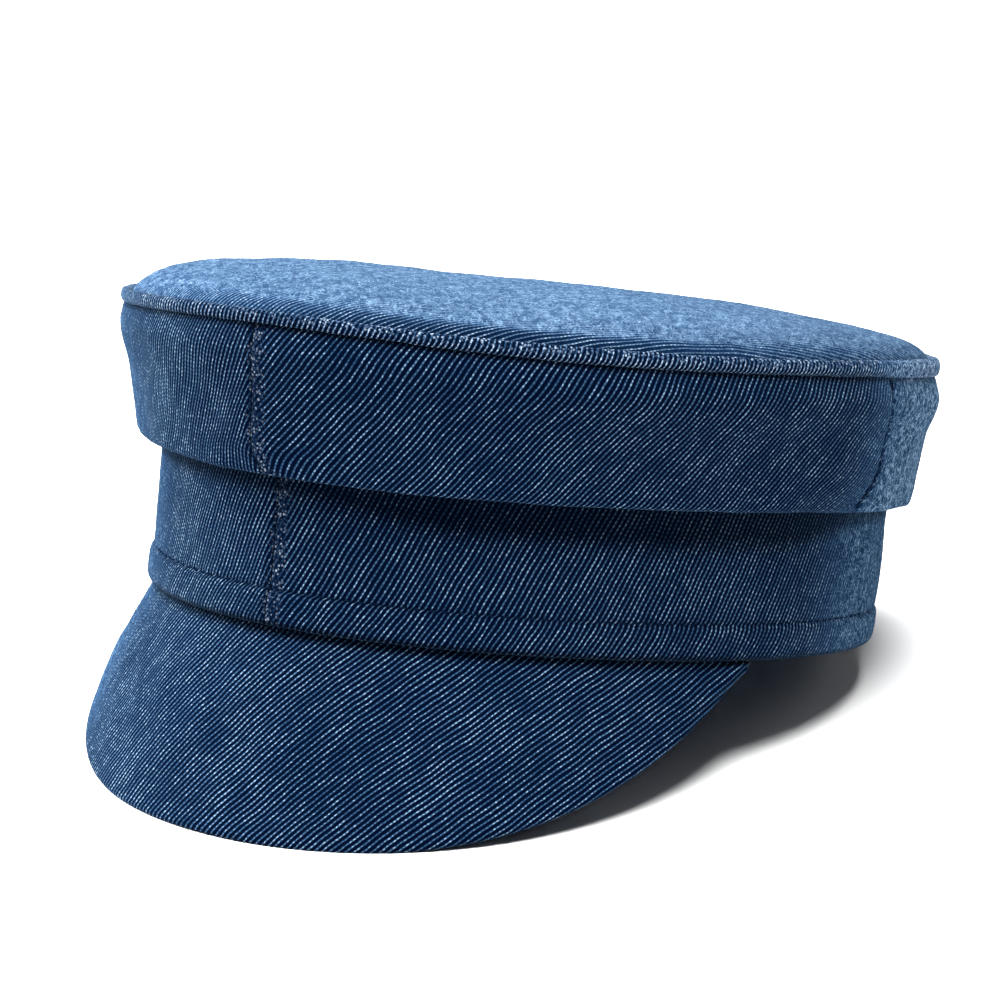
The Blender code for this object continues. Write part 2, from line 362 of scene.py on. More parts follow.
def add_piece(name, wall, points, weave, materials, node, speckle=0, nap_and_sheen=0, painted_shade=0, rows_round=None):
    """The wall as a finished piece in its CAD node's place.

    speckle is where seams show grains, the nap where the cloth is worn woolly and painted paler as sheen,
    and the painted shade where shade is painted dark onto the cloth.
    rows_round is how many ribs and beads go once round a whole wall, where its first and last rows meet.
    """
    mesh = wall.mesh
    mesh.vertices.foreach_set("co", at_rest(points).astype(np.float32).ravel())
    corner = numbers(mesh.loops, "vertex_index").astype(int)
    first = numbers(mesh.polygons, "loop_start").astype(int)
    uv = np.stack(weave, -1)[corner]
    if rows_round is not None:
        count = numbers(mesh.polygons, "loop_total").astype(int)
        face = np.repeat(np.arange(len(first)), count)
        turn = wall.turn[corner]
        highest = np.maximum.reduceat(turn, first)[face]
        uv[highest - turn > math.pi] += rows_round
    mesh.uv_layers.new(name="weave").uv.foreach_set("vector", uv.astype(np.float32).ravel())
    for title, values in (("speckle", speckle), ("nap_and_sheen", nap_and_sheen), ("painted_shade", painted_shade)):
        layer = mesh.attributes.new(title, "FLOAT", "POINT")
        layer.data.foreach_set("value", (values + 0 * wall.turn).astype(np.float32))
    for material in materials:
        mesh.materials.append(material)
    if len(materials) > 1:
        back = np.minimum.reduceat(wall.reverse[corner], first)
        mesh.polygons.foreach_set("material_index", (back > 0.5).astype(np.int32))
    mesh.shade_smooth()
    mesh.set_sharp_from_angle(angle=SHARP_EDGE)
    mesh.update()
    piece = bpy.data.objects.new(name, mesh)
    bpy.context.scene.collection.objects.link(piece)
    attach(piece, "root")
    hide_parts(node)
    return piece


# Materials


class Recipe:
    """A material's nodes, added one at a time."""

    def __init__(self, name, roughness):
        self.material = bpy.data.materials.new(name)
        self.material.use_nodes = True
        self.nodes = self.material.node_tree.nodes
        self.links = self.material.node_tree.links
        self.surface = self.nodes["Principled BSDF"]
        self.finish({"Roughness": roughness, "Specular IOR Level": 0.0})

    def finish(self, settings):
        """Numbers and colours that are the same all over the surface."""
        for socket, value in settings.items():
            self.surface.inputs[socket].default_value = value

    def colour(self, value):
        self.links.new(value, self.surface.inputs["Base Color"])

    def add(self, kind, inputs=None, **settings):
        node = self.nodes.new("ShaderNode" + kind)
        for key, value in settings.items():
            setattr(node, key, value)
        for key, value in (inputs or {}).items():
            if isinstance(value, bpy.types.NodeSocket):
                self.links.new(value, node.inputs[key])
            else:
                node.inputs[key].default_value = value
        return node

    def own_place(self):
        return self.add("TexCoord").outputs["Object"]

    def painted(self, title):
        """A value that the piece's mesh carries."""
        return self.add("Attribute", attribute_name=title).outputs["Fac"]

    def math(self, operation, *values):
        return self.add("Math", dict(enumerate(values)), operation=operation).outputs[0]

    def times(self, *values):
        product = values[0]
        for value in values[1:]:
            product = self.math("MULTIPLY", product, value)
        return product

    def vector(self, operation, *values):
        return self.add("VectorMath", dict(enumerate(values)), operation=operation).outputs[0]

    def ease(self, value, low, high, start=0.0, end=1.0):
        inputs = {"Value": value, "From Min": low, "From Max": high, "To Min": start, "To Max": end}
        return self.add("MapRange", inputs, interpolation_type="SMOOTHSTEP").outputs[0]

    def row_wave(self, count):
        """A wave over counted rows: 1 at the middle of each and -1 where two meet."""
        part = self.math("SUBTRACT", self.math("FRACT", count), 0.5)
        return self.math("COSINE", self.times(part, FULL_TURN))

    def carried(self, share, first, second):
        """The first number, carried a share of the way to the second."""
        return self.math("MULTIPLY_ADD", share, self.math("SUBTRACT", second, first), first)

    def noise(self, place, scale, detail=2.0, output="Fac", distortion=0.0):
        inputs = {"Vector": place, "Scale": scale, "Detail": detail, "Distortion": distortion}
        return self.add("TexNoise", inputs).outputs[output]

    def mix(self, share, first, second):
        node = self.add("Mix", data_type="RGBA")
        for socket, value in (("Factor_Float", share), ("A_Color", first), ("B_Color", second)):
            target = next(s for s in node.inputs if s.identifier == socket)
            if isinstance(value, bpy.types.NodeSocket):
                self.links.new(value, target)
            else:
                target.default_value = value if socket == "Factor_Float" else (*value, 1)
        return next(s for s in node.outputs if s.identifier == "Result_Color")

    def ramp(self, value, stops):
        node = self.add("ValToRGB", {"Fac": value})
        steps = node.color_ramp.elements
        while len(steps) < len(stops):
            steps.new(0.5)
        for step, (place, colour) in zip(steps, stops):
            step.position = place
            step.color = (*colour, 1)
        return node.outputs["Color"]


ROW_SWAYS = (
    # how the rows stray: scale of the noise, its detail, and how many ribs and beads it moves them
    (0.16, 2, (0.4, 0.7, 0)),
    (0.8, 1, (0.16, 0.4, 0)),
)
# Each range below is where an ease starts and ends, and then what it gives there if not 0 and 1
RIB_CREST = (0.5, 1.0)
RIB_FLANK = (-0.25, 0.95)
BEAD_SHAPE = (-0.8, 0.7, 0.3, 1.05)
NOISE_MIDDLE = (0.3, 0.7)
STREAK = (*NOISE_MIDDLE, 0.5, 1.4)
STREAK_PACE = (7.3, 0.14)  # how fast the streaks change from rib to rib, and along one
DULL_BEAD, BRIGHT_BEAD_GAIN, BRIGHT_BEAD_RARITY = 0.52, 0.85, 3.0
FLANK_SHARE, CREST_SHARE = 0.3, 0.7
PATCH_SCALE, PATCH = 60, (*NOISE_MIDDLE, 0.88, 1.12)

NAP_TURN = 32.4 * DEGREE  # the nap on the top is combed back along this heading
NAP_DIP = -15.9 * DEGREE  # and down at this slope, as the top itself lies
NAP_AND_SHEEN_COVER = 0.94
CURL_SCALE, CURL, CURL_BEND = 720, (0.07, 0.01), 0.8
WOOL_SCALE = 560

GRAIN_SCALE, GRAIN = 1350.0, (0.55, 0.25)
GRAIN_COVER, GRAIN_FLOOR, GRAIN_BARE = 0.75, 0.02, 0.65
BARE_YARN = (0.42, 0.45, 0.48)

RIB_PLACE, BEAD_PLACE = 0.3, 0.75  # of their colours, from ground to the palest yarn
# Painted shade: how far it darkens the cloth at most, and the share of the ground colour it darkens to
PAINTED_SHADE_COVER, PAINTED_SHADE_TONE = 0.9, 0.3

RELIEF = 0.4 * MM
RELIEF_STRENGTH = 0.8
TWILL_RELIEF, NAP_FLATTENS, CURL_RELIEF = 0.8, 0.75, 0.5
ROUGH_SCALE, ROUGH_RELIEF = 2600, 0.25
CLOTH_ROUGHNESS = 0.88
SHEEN = {"Sheen Weight": 0.08, "Sheen Roughness": 0.35, "Sheen Tint": (0.38, 0.65, 1.0, 1)}


def dimmed(colour, share):
    return tuple(c * share for c in colour)


def twill_rows(r):
    """How much pale yarn the ribs show, and how high they stand with their beads."""
    cloth = r.add("UVMap", uv_map="weave").outputs["UV"]
    moved = cloth
    for scale, detail, reach in ROW_SWAYS:
        moved = r.vector("MULTIPLY_ADD", r.noise(cloth, scale, detail, "Color"), reach, moved)
    ribs, beads = r.add("SeparateXYZ", {0: moved}).outputs[:2]
    rib_number = r.math("FLOOR", ribs)
    lag = r.add("TexWhiteNoise", {"W": rib_number}, noise_dimensions="1D").outputs["Value"]
    beads = r.math("ADD", beads, lag)
    which = r.add("CombineXYZ", {0: rib_number, 1: r.math("FLOOR", beads)}).outputs[0]
    chance = r.add("TexWhiteNoise", {"Vector": which}, noise_dimensions="2D").outputs["Value"]

    rib_wave = r.row_wave(ribs)
    crest = r.ease(rib_wave, *RIB_CREST)
    flank = r.ease(rib_wave, *RIB_FLANK)
    bead = r.ease(r.row_wave(beads), *BEAD_SHAPE)
    rare = r.math("POWER", chance, BRIGHT_BEAD_RARITY)
    luck = r.math("MULTIPLY_ADD", rare, BRIGHT_BEAD_GAIN, DULL_BEAD)
    rib_pace, bead_pace = STREAK_PACE
    stretch = r.add("CombineXYZ", {0: r.times(rib_number, rib_pace), 1: r.times(beads, bead_pace)})
    streak = r.ease(r.noise(stretch.outputs[0], 1.0, 1), *STREAK)
    glint = r.times(r.times(crest, bead), r.times(luck, streak))
    pale = r.math("MULTIPLY_ADD", flank, FLANK_SHARE, r.times(glint, CREST_SHARE))
    return pale, r.times(flank, bead)


def seam_grains(r):
    """Pale grains, each as bright as chance has it."""
    cells = r.add("TexVoronoi", {"Vector": r.own_place(), "Scale": GRAIN_SCALE})
    lit = r.add("SeparateColor", {0: cells.outputs["Color"]}).outputs[0]
    return r.times(r.ease(cells.outputs["Distance"], *GRAIN), lit)


def denim(name, ground, rib, bead, wool=(0.26, 0.58), curl_gain=0.65, comb=1.0, sparkle=0.65, fine=0.7):
    """Twill: dark blue ground, ribs of paler yarn with bright beads on them, and a short nap that is also
    painted sheen.

    wool is how pale the nap is, curl_gain how much paler its curls are, comb how much longer than wide
    they lie, fine how small they are and sparkle how pale the grains at a seam are.
    """
    r = Recipe(name, CLOTH_ROUGHNESS)
    pale, rows = twill_rows(r)
    place = r.own_place()
    combed = {"Vector": place, "Rotation": (NAP_DIP, 0, NAP_TURN), "Scale": (1, comb, 1)}
    lying = r.add("Mapping", combed, vector_type="TEXTURE").outputs[0]
    pale = r.times(pale, r.ease(r.noise(lying, PATCH_SCALE, 4), *PATCH))

    curls = r.noise(lying, CURL_SCALE * fine, 1, distortion=CURL_BEND)
    curl = r.ease(r.math("ABSOLUTE", r.math("SUBTRACT", curls, 0.5)), *CURL)
    fluff = r.ease(r.noise(lying, WOOL_SCALE * fine, 3), *NOISE_MIDDLE, *wool)
    nap_and_sheen = r.painted("nap_and_sheen")
    # Nap: woolly curls and fluff over the twill, painted paler where it also stands as sheen
    pale = r.carried(r.times(nap_and_sheen, NAP_AND_SHEEN_COVER), pale, r.math("MULTIPLY_ADD", curl, curl_gain, fluff))

    grain = seam_grains(r)
    seam = r.painted("speckle")
    speck = r.math("MULTIPLY_ADD", grain, sparkle, GRAIN_FLOOR)
    pale = r.carried(r.times(seam, GRAIN_COVER), pale, speck)

    palest = tuple(c**0.6 for c in bead)
    colour = r.ramp(pale, ((0.0, ground), (RIB_PLACE, rib), (BEAD_PLACE, bead), (1.0, palest)))
    bare = r.times(r.times(seam, grain), r.times(grain, GRAIN_BARE * sparkle))
    colour = r.mix(bare, colour, BARE_YARN)
    # Painted shade: the colour darkened towards a dim ground where the mesh carries it
    r.colour(r.mix(r.times(r.painted("painted_shade"), PAINTED_SHADE_COVER), colour, dimmed(ground, PAINTED_SHADE_TONE)))

    rough = r.times(r.noise(place, ROUGH_SCALE, 2), ROUGH_RELIEF)
    height = r.math("MULTIPLY_ADD", rows, r.math("MULTIPLY_ADD", nap_and_sheen, -NAP_FLATTENS, TWILL_RELIEF), rough)
    height = r.math("MULTIPLY_ADD", r.times(curl, nap_and_sheen), CURL_RELIEF, height)
    bump = r.add("Bump", {"Height": height, "Strength": RELIEF_STRENGTH, "Distance": RELIEF})
    r.links.new(bump.outputs[0], r.surface.inputs["Normal"])
    r.finish(SHEEN)
    return r.material


GROUND = (0.0002, 0.0019, 0.009)
RIB = (0.005, 0.021, 0.06)
BEAD = (0.058, 0.118, 0.202)
# The ridge and the top take paler colours, as painted light from above
RIDGE_RIB, RIDGE_BEAD = (0.013, 0.042, 0.1), (0.19, 0.28, 0.4)
TOP_BEAD = (0.095, 0.165, 0.26)
REVERSE_GROUND, REVERSE_RIB, REVERSE_BEAD = (0.012, 0.03, 0.07), (0.07, 0.11, 0.19), (0.22, 0.29, 0.37)

# The band and sides take the twill's colours dimmed, and the peak's dimmed less, as painted shade
FACE = denim("denim_face", GROUND, dimmed(RIB, 0.8), dimmed(BEAD, 0.84), fine=0.95)
PEAK_FACE = denim("denim_peak_face", GROUND, dimmed(RIB, 0.95), dimmed(BEAD, 0.97))
RIDGE_FACE = denim(
    "denim_ridge_face", GROUND, RIDGE_RIB, RIDGE_BEAD, wool=(0.16, 0.42), sparkle=1.1, fine=0.95
)
TOP_FACE = denim(
    "denim_top_face", GROUND, RIB, TOP_BEAD, wool=(0.41, 0.68), curl_gain=0.36, comb=4.0, fine=1.0
)
REVERSE = denim("denim_reverse", REVERSE_GROUND, REVERSE_RIB, REVERSE_BEAD)

THREAD_ROUGHNESS = 0.7
THREAD_DARK, THREAD_PALE = (0.0003, 0.0015, 0.006), (0.003, 0.010, 0.03)
TWIST_SCALE = 3000


def thread():
    r = Recipe("navy_thread", THREAD_ROUGHNESS)
    r.colour(r.mix(r.noise(r.own_place(), TWIST_SCALE, 1), THREAD_DARK, THREAD_PALE))
    return r.material


THREAD = thread()


# What the sewn pieces share

GROOVE_WIDTH, GROOVE_DEPTH, GROOVE_DENT = 0.6 * MM, 0.35 * MM, 0.15 * MM
HOLLOW_WIDTH, HOLLOW_DEPTH = 2.2 * MM, 0.08 * MM


def pucker(length, away):
    """How far a row of stitches draws the cloth in: a groove with dents, in a shallow hollow."""
    dent = 0.5 + 0.5 * np.cos(FULL_TURN * length / STITCH_PITCH)
    groove = (GROOVE_DEPTH + GROOVE_DENT * dent) * bell(away, GROOVE_WIDTH)
    return groove + HOLLOW_DEPTH * dent * bell(away, HOLLOW_WIDTH)


FRONT_SEAM_REACH = 20 * MM  # cloth within this of the front is beside the front seam
FRONT_ALLOWANCE = (2.0 * MM, 4.6 * MM)  # its grains are whole up to the first and gone at the second


def seam_grain(length, seam):
    """Where the cloth of a seam shows as pale and dark grains: widest beside the front seam, on its left."""
    left = 1 - smooth(seam, *FRONT_ALLOWANCE)
    right = bell(seam, 0.4 * MM)
    front = (np.abs(length) < FRONT_SEAM_REACH) * np.where(length > 0, left, right)
    return np.maximum(front, 0.8 * bell(seam, 0.8 * MM))


def nap_and_sheen_zone(angle):
    """How much nap stands on the cloth, with sheen painted there as paler colour: most at the right temple
    and behind the left ear.
    """
    right = smooth(-angle, 27 * DEGREE, 60 * DEGREE)
    left = smooth(angle, 86 * DEGREE, 103 * DEGREE)
    right = right * (1 - 0.8 * smooth(-angle, 70 * DEGREE, 100 * DEGREE))
    left = left * (1 - 0.75 * smooth(angle, 128 * DEGREE, 158 * DEGREE))
    return np.maximum(right, left)


def behind_ears(angle):
    """1 behind each ear, where the band bulges and the crown's fold hangs lower, and 0 away from there."""
    return bell(np.abs(angle) - 118 * DEGREE, 0.42)


# The band

HEM_ROUND = 1.5 * MM
REVERSE_ROUND = 0.5 * MM
LEFT_BAND_NAP_AND_SHEEN = 0.76  # as a share of the nap and painted sheen above it


def band_section():
    """The face from the hem's lower edge up, and the reverse from the top down."""
    top = BAND_HEIGHT + TUCK_HEIGHT
    outer = [(-BAND_WALL + REVERSE_ROUND, 0)]
    outer += arc((HEM_RAISE - HEM_ROUND, HEM_ROUND), HEM_ROUND, -math.pi / 2, 0, 7)
    outer += [(HEM_RAISE, HEM_HEIGHT - HEM_RAISE), (0, HEM_HEIGHT + HEM_RAISE), (0, top)]
    inner = list(resampled([(-BAND_WALL, top), (-BAND_WALL, REVERSE_ROUND)], 3 * MM))
    edge = (-BAND_WALL + REVERSE_ROUND, REVERSE_ROUND)
    inner += arc(edge, REVERSE_ROUND, math.pi, 1.4 * math.pi, 3)[1:]
    return eased(resampled(outer, 0.55 * MM), 2), np.array(inner)


def band_piece(name, start, end, rib_angle, spacing, node):
    wall = Wall(name, *band_section(), round(BAND_TAPE.length(math.pi) / MESH_SIZE))
    angle, length, seam = wall.between(start, end, BAND_TAPE)
    height, run = wall.height, wall.run
    shown = 1 - wall.reverse

    stitched = shown * pucker(length, height - HEM_HEIGHT)
    plump = shown * 0.45 * MM * np.sin(math.pi * np.clip(height / HEM_HEIGHT, 0, 1)) ** 0.7
    groove = 0.5 * MM * bell(seam, SEAM_WIDTH) * smooth(height, 0, 3 * MM)
    middle = smooth(height, 0, 8 * MM) * (1 - smooth(height, 26 * MM, 33 * MM))
    slack = 0.25 * drift(length, height) * middle
    bulge = 0.8 * MM * behind_ears(angle) * smooth(height, 0, 25 * MM)
    points = on_head(angle, wall.out - stitched + plump - groove + slack + bulge, height)

    turned_up = 0.5 * MM * (1 - smooth(height, HEM_HEIGHT - 0.4 * MM, HEM_HEIGHT))
    creep = 0.9 * MM * bell(height, 5 * MM)
    twist = 0.3 * drift(length * 3, run * 2) * bell(height - 4 * MM, 5 * MM)
    weave = twill(length + (drift(length, run, 0.4) + turned_up + creep + twist), run, rib_angle, spacing)

    speckle = seam_grain(length, seam) * shown
    # Nap, with sheen painted as paler colour, at the right temple and behind the left ear
    nap_and_sheen = nap_and_sheen_zone(angle) * np.where(angle > 0, LEFT_BAND_NAP_AND_SHEEN, 1.0) * shown
    # Painted shade: under the fold's overhang, reaching lower along the left, in the hem's stitch groove,
    # along the hem's lower edge and in the seam lines
    far_left = smooth(angle, 0, 35 * DEGREE) * (1 - smooth(angle, 80 * DEGREE, 105 * DEGREE))
    shade_top = BAND_HEIGHT - (2.0 + 4.0 * far_left) * MM
    under_fold = 0.85 * smooth(height, shade_top - (4.0 + 1.7 * far_left) * MM, shade_top)
    stitch_line = 0.5 * bell(height - HEM_HEIGHT, 0.4 * MM)
    lower_edge = 0.9 * (1 - smooth(height, 0.5 * MM, 1.9 * MM))
    seam_line = 0.3 * bell(seam, SEAM_LINE)
    painted_shade = np.maximum.reduce([under_fold, stitch_line, lower_edge, seam_line]) * shown
    add_piece(name, wall, points, weave, (FACE, REVERSE), node, speckle, nap_and_sheen, painted_shade)


# The crown's side

FOLD_STEPS = 14
SIDE_TOP_EDGE = (
    # how far in from the top edge's face and how far above the side's height, in mm
    (0.0, -1.1),
    (0.15, -0.3),
    (0.7, 0.2),
)


def swell(angle):
    """How much taller the ridge is along the left."""
    behind = 1.3 * MM * bell(angle - 122 * DEGREE, 0.6)
    beside = 0.9 * MM * bell(angle - 48 * DEGREE, 0.4)
    return behind + beside


def sink(angle):
    """How far the ridge sags on the right."""
    return 1.6 * MM * bell(angle + 88 * DEGREE, 0.55)


def pinch(angle):
    """How far the groove under the ridge is drawn up at the front left."""
    return 0.8 * MM * bell(angle - 35 * DEGREE, 0.7)


def seam_bend(angle, height):
    """How far a seam of the crown's side strays from its upright, in radians."""
    rise = height - BAND_HEIGHT
    side = -0.075 * (1 - smooth(rise, -2 * MM, 11 * MM)) + 0.03 * bell(rise - 11 * MM, 11 * MM)
    front = -0.039 * smooth(rise, -MM, 6 * MM) * (1 - 0.87 * smooth(rise, 7 * MM, 33 * MM))
    side = side * bell(np.abs(angle) - SIDE_SEAM, 0.22) * np.where(angle > 0, 1, -0.4)
    return side + front * bell(angle, 0.2)


def side_section():
    """The face from the tuck up, the reverse from the top down, and where on it the fold is lowest."""
    centre = (FOLD_OUT - FOLD_RADIUS, BAND_HEIGHT + FOLD_RADIUS)
    tuck = [(CLEARANCE, BAND_HEIGHT + TUCK_HEIGHT), (CLEARANCE, centre[1])]
    fold = arc(centre, FOLD_RADIUS, math.pi, FULL_TURN, FOLD_STEPS)
    face = [(FOLD_OUT + OVERHANG * out, BAND_HEIGHT + SIDE_HEIGHT * rise) for rise, out in SIDE_PROFILE]
    face = [place for place in face if place[1] > centre[1] + MM]
    face[-1:] = [(TOP_OUT - inward * MM, SIDE_TOP + up * MM) for inward, up in SIDE_TOP_EDGE]
    shown = eased(resampled(face, 0.7 * MM), 8)
    outer = np.concatenate([resampled(tuck, 2 * MM)[:-1], fold, shown])
    lowest = lengths(outer)[len(outer) - len(shown) - 1 - FOLD_STEPS // 2]
    return outer, left_of(outer, SIDE_WALL)[::-1][::2], lowest


def side_piece(name, start, end, rib_angle, spacing, node):
    outer, inner, lowest = side_section()
    steps = round((SIDE_TAPE.length(end) - SIDE_TAPE.length(start)) / MESH_SIZE)
    wall = Wall(name, outer, inner, steps, run_start=-lowest)
    angle, length, seam = wall.between(start, end, SIDE_TAPE)
    run, level = wall.run, wall.height
    free = smooth(wall.out, CLEARANCE + SIDE_WALL, FOLD_OUT)
    free_top = 1 - smooth(level, SIDE_TOP - 5 * MM, SIDE_TOP - MM)
    low = 1 - smooth(level, BAND_HEIGHT + 3 * MM, BAND_HEIGHT + 14 * MM)

    groove = 0.55 * MM * bell(seam, SEAM_WIDTH) * free
    slack = 0.45 * drift(length, level) * free * free_top
    shoulder = 0.6 * MM * bell(level - SIDE_TOP + 6 * MM, 5 * MM) * free * free_top
    waver = 0.15 * drift(length * 1.3, 0 * length) * free * low
    hang = 1.4 * MM * behind_ears(angle) * free * low
    drawn_up = (pinch(angle) - sink(angle)) * smooth(level, SIDE_TOP - 9 * MM, SIDE_TOP)
    bent = angle + seam_bend(angle, level)
    points = on_head(bent, wall.out - groove + slack + shoulder, level + waver - hang + drawn_up)

    bulge = bell(length - 102 * MM, 30 * MM) * math.sin(rib_angle)
    bow = bulge * 1.1 * MM * np.sin(FULL_TURN * (run - 16 * MM) / (36 * MM))
    at_top, at_fold = 0.9 * MM * bell(run - 34 * MM, 6 * MM), 0.9 * MM * bell(run, 5 * MM)
    weave = twill(length + (drift(length, run, 0.45) - bow + at_top + at_fold), run, rib_angle, spacing)

    shown = 1 - wall.reverse
    # Nap, with sheen painted as paler colour
    nap_and_sheen = nap_and_sheen_zone(angle) * shown
    # Painted shade: on the tuck behind the fold, in the groove under the ridge and in the seam lines
    under_ridge = 0.75 * smooth(level, SIDE_TOP - 1.3 * MM, SIDE_TOP - 0.1 * MM) * (1 - 0.7 * nap_and_sheen)
    seam_line = 0.15 * bell(seam, SEAM_LINE)
    painted_shade = np.maximum.reduce([1 - free, under_ridge, seam_line]) * shown
    speckle = seam_grain(length, seam) * free
    add_piece(name, wall, points, weave, (FACE, REVERSE), node, speckle, nap_and_sheen, painted_shade)


# The ridge and the top

RIDGE_STEPS = 28
RIDGE_SQUARENESS = 0.85
RIDGE_RIBS = 70 * DEGREE
TOP_RIBS = 66 * DEGREE
TOP_SQUARENESS, TOP_SHOULDER = 4.2, 0.42  # the cloth stands fuller at the rim than the CAD's top
TOP_RINGS, TOP_CROWDING = 100, 1.6  # rings of mesh from its middle, and how much closer at its rim
TOP_MESH_SIZE = 1.6 * MM
# Nap on the top and on its front left shoulder, painted paler also as sheen and light from above
TOP_NAP_AND_SHEEN, SHOULDER_NAP_AND_SHEEN = 0.68, 0.13


def ridge_ring():
    """The ridge's section, from its lowest point round by its outer face."""
    turns = np.linspace(-math.pi / 2, 1.5 * math.pi, RIDGE_STEPS + 1)[:-1]
    out, up = (np.sign(f(turns)) * np.abs(f(turns)) ** RIDGE_SQUARENESS for f in (np.cos, np.sin))
    middle = TOP_OUT + WELT_BULGE - WELT_WALL / 2
    return np.stack([middle + out * WELT_WALL / 2, WELT_MIDDLE + up * WELT_HEIGHT / 2], -1)


def ridge_piece():
    ring = ridge_ring()
    half = RIDGE_STEPS // 2 + 2
    steps = round(WELT_TAPE.marks[-1] * 2 / MESH_SIZE)
    wall = Wall("seam_ridge", ring[:half], ring[half:], steps, whole=True)
    angle = wall.turn
    length = WELT_TAPE.length(angle)
    waver = 0.12 * drift(length * 1.7, 0 * length)
    height = wall.height + 0.1 * drift(length * 2.3, 0 * length)
    share = (wall.height - WELT_MIDDLE) / WELT_HEIGHT + 0.5
    height = height + (swell(angle) - 0.6 * sink(angle)) * share + pinch(angle) * (1 - share) - sink(angle)
    points = on_head(angle, wall.out + waver, height)

    ribs = round(WELT_TAPE.whole * math.sin(RIDGE_RIBS) / RIB_SPACING)
    beads = WELT_TAPE.whole * math.cos(RIDGE_RIBS) / BEAD_PITCH
    across, along = twill(length, wall.run, RIDGE_RIBS, WELT_TAPE.whole * math.sin(RIDGE_RIBS) / ribs)
    across = across - 0.35 * np.sin(math.pi * np.clip(wall.run / (5 * MM), 0, 1))

    # Nap, with sheen painted as paler colour
    nap_and_sheen = nap_and_sheen_zone(angle)
    away = np.abs(angle)
    not_left = smooth(-angle, -25 * DEGREE, 15 * DEGREE)
    # Pale grains of wear on the ridge's upper half, brightened as painted highlight where the light from
    # above falls
    speckle = 0.65 * smooth(share, 0.42, 0.7) * (1 - nap_and_sheen) * (1 - 0.6 * not_left)
    speckle = speckle * (1 - 0.8 * smooth(away, 120 * DEGREE, 150 * DEGREE))
    # Painted shade: on the ridge's lower half, and dimming it on the right front and behind the left ear
    below = 0.55 * (1 - smooth(share, 0.0, 0.45)) * (1 - 0.85 * nap_and_sheen)
    shaded_right = 0.3 * not_left * (1 - smooth(away, 90 * DEGREE, 120 * DEGREE))
    shaded_left = 0.27 * smooth(angle, 92 * DEGREE, 108 * DEGREE)
    painted_shade = np.maximum.reduce([below, shaded_right, shaded_left])
    add_piece(
        "seam_ridge", wall, points, (across, along), (RIDGE_FACE,), "crown_welt",
        speckle, nap_and_sheen, painted_shade, rows_round=(ribs, beads),
    )


def dome(share, wall):
    """Height of the top's face, or of its reverse a wall lower, at a share of the way to the rim."""
    rise = np.maximum(0, 1 - share**TOP_SQUARENESS) ** TOP_SHOULDER
    return WELT_MIDDLE + (DOME_HEIGHT - CLEARANCE + WELT_HEIGHT / 2) * rise - wall


def top_piece():
    rim_out = TOP_OUT + WELT_BULGE - WELT_WALL - 0.1 * MM
    shares = 1 - (1 - np.linspace(0, 1, TOP_RINGS)) ** TOP_CROWDING
    outer = np.stack([ROUND * (shares - 1), dome(shares, 0)], -1)
    back = np.append(shares[:3:-4], 0.0)
    inner = np.stack([ROUND * (back - 1), dome(back, TOP_WALL)], -1)
    wall = Wall("cap_top", outer, inner, round(WELT_TAPE.marks[-1] * 2 / TOP_MESH_SIZE), whole=True)
    angle = wall.turn
    shown = 1 - wall.reverse
    share = (ROUND + wall.out) / ROUND
    x, y = on_head(angle, rim_out + 0 * angle, wall.height, share)[:, :2].T
    slant = x * math.cos(NAP_TURN) + y * math.sin(NAP_TURN)

    free = 1 - smooth(share, 0.9, 1)
    slack = (0.25 * drift(x, y) + 0.1 * drift(x * 3, y * 3)) * free
    near_rim = smooth(share, 0.75, 0.92) * (1 - smooth(share, 0.96, 1.0))
    ripple = 0.1 * MM * np.sin(WELT_TAPE.length(angle) / (4.1 * MM) + 3 * np.sin(angle * 5)) * near_rim
    raised = swell(angle) * smooth(share, 0.6, 1)
    sunk = 1.6 * sink(angle) * smooth(share, 0.93, 0.995)
    tilt = (0.25 * MM * smooth(-slant, 15 * MM, 60 * MM) - 0.4 * MM * bell(slant, 35 * MM)) * free
    height = wall.height + slack + ripple + raised - sunk + tilt
    points = on_head(angle, rim_out + 0 * angle, height, share)

    stretch = wall.run / np.maximum(ROUND * share, MM)
    ahead = (x * math.cos(TOP_RIBS) + y * math.sin(TOP_RIBS)) * stretch
    aside = (-x * math.sin(TOP_RIBS) + y * math.cos(TOP_RIBS)) * stretch
    weave = ((aside + drift(x, y, 0.6)) / RIB_SPACING, ahead / BEAD_PITCH)

    # Nap over the top, painted paler also as sheen and light from above, less on the front left shoulder
    shoulder = bell(angle - 0.55, 0.85) * smooth(share, 0.948, 0.976)
    nap_and_sheen = shown * (TOP_NAP_AND_SHEEN - (TOP_NAP_AND_SHEEN - SHOULDER_NAP_AND_SHEEN) * shoulder)
    # Painted shade: at the rim on the front left, and deepening across the top towards its left back
    at_rim = 0.15 * bell(angle - 0.6, 0.8) * smooth(share, 0.965, 0.995)
    painted_shade = (at_rim + 0.2 * smooth(slant, 10 * MM, 90 * MM)) * shown
    add_piece("cap_top", wall, points, weave, (TOP_FACE, REVERSE), "crown_top", 0, nap_and_sheen, painted_shade)


# The peak

TURN_UP = 2.0 * MM  # of the peak's root, sewn behind the band
TURN_UP_IN = 1.0 * MM
PEAK_RIBS, PEAK_RIB_SPACING = 53 * DEGREE, 1.13 * MM
PEAK_TURNS = 241  # of the flat pattern


